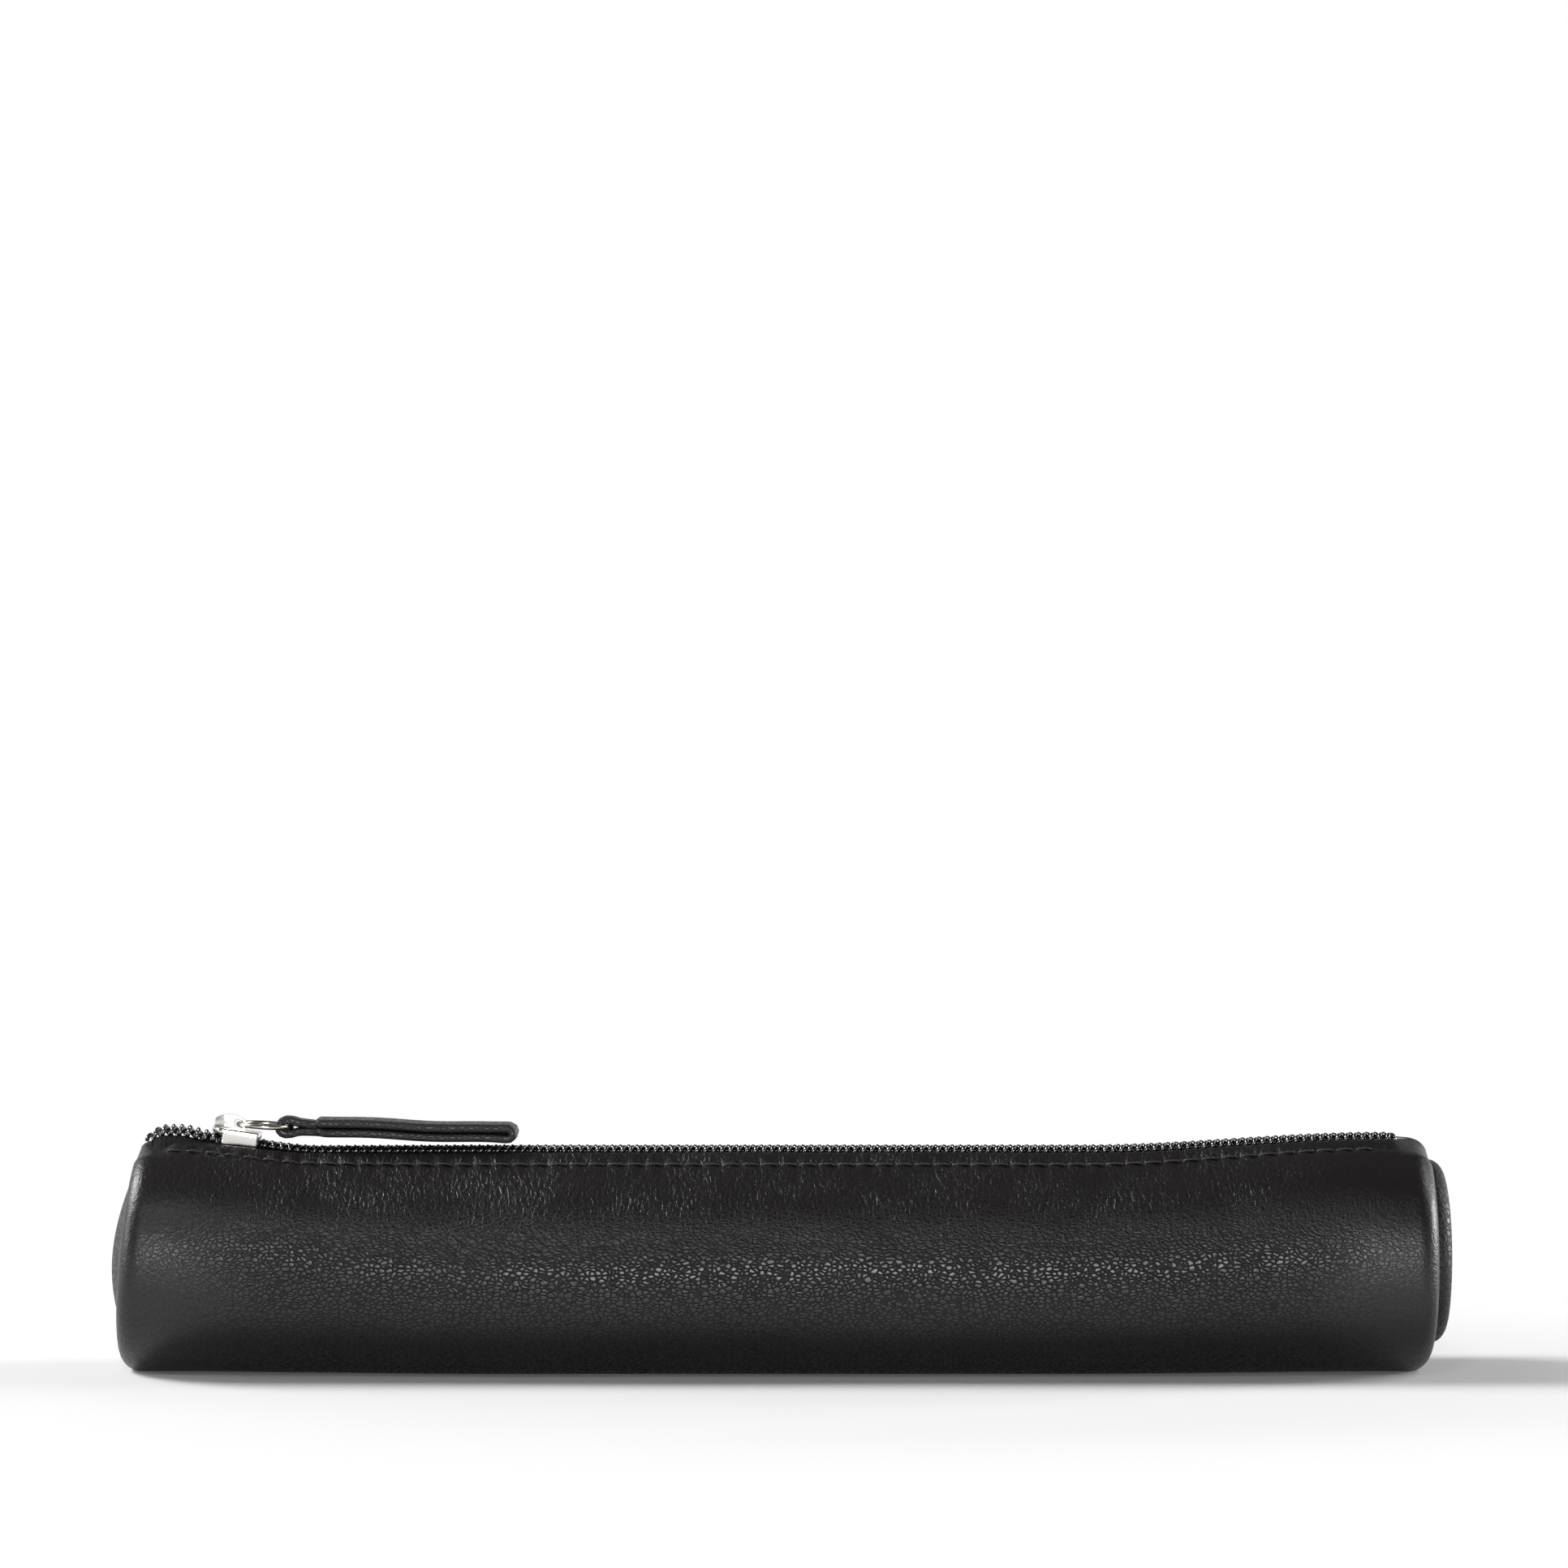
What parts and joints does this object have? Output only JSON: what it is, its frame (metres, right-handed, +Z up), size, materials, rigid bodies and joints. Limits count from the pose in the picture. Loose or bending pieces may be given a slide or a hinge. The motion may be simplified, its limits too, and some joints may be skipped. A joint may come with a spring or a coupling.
{
  "type": "zipped pen case",
  "caption": "Soft leather tube for fountain pens, closed along its top by a coil zip with a slider, ring and folded leather pull, round sewn-in ends.",
  "frame": {"origin": "on the surface that the case lies on, under the middle of the tube", "axes": "+X along the tube from the slider's closed-zip end to the zip's far end, +Y to the back, +Z up through the zip"},
  "size_m": [0.1995, 0.0364, 0.0379],
  "materials": {
    "black_leather": "soft fine-grained nappa, satin",
    "zip_tape": "matt woven tape",
    "zip_coil": "wound nylon, slight gloss",
    "polished_metal": "polished nickel plate"
  },
  "bodies": {
    "case": {"body_leather": "black_leather", "left_end_disc": "black_leather", "right_end_disc": "black_leather", "front_tape_ends": "zip_tape", "rear_tape_ends": "zip_tape", "front_coil_ends": "zip_coil", "rear_coil_ends": "zip_coil"},
    "front_lip": {"front_lip_leather": "black_leather", "front_tape": "zip_tape", "front_coil": "zip_coil"},
    "rear_lip": {"rear_lip_leather": "black_leather", "rear_tape": "zip_tape", "rear_coil": "zip_coil"},
    "slider": {"slider_body": "polished_metal"},
    "ring": {"pull_ring": "polished_metal"},
    "pull": {"pull_tab": "black_leather"}
  },
  "joints": [
    {"name": "zip_slide", "type": "slide", "parent": "case", "child": "slider", "axis": [1, 0, 0.0073], "range_m": [0, 0.165], "deforming": ["front_tape", "front_tape_ends", "rear_tape", "rear_tape_ends", "front_coil", "front_coil_ends", "rear_coil", "rear_coil_ends"]},
    {"name": "front_lip_fold", "type": "hinge", "parent": "case", "child": "front_lip", "pos_m": [0, -0.0182, 0.017], "axis": [1, 0, 0], "range_deg": [0, 22.5]},
    {"name": "rear_lip_fold", "type": "hinge", "parent": "case", "child": "rear_lip", "pos_m": [0, 0.0182, 0.017], "axis": [-1, 0, 0], "range_deg": [0, 22.5]},
    {"name": "ring_swing", "type": "hinge", "parent": "slider", "child": "ring", "pos_m": [-0.08038, 0, 0.03655], "axis": [0, -1, 0], "range_deg": [0, 150]},
    {"name": "pull_swing", "type": "hinge", "parent": "ring", "child": "pull", "pos_m": [-0.0725, 0, 0.03607], "axis": [0, -1, 0], "range_deg": [0, 60]}
  ],
  "couplings": [
    {"joint": "front_lip_fold", "follows": "zip_slide", "rad_per_m": 2.3271},
    {"joint": "rear_lip_fold", "follows": "zip_slide", "rad_per_m": 2.3271}
  ]
}
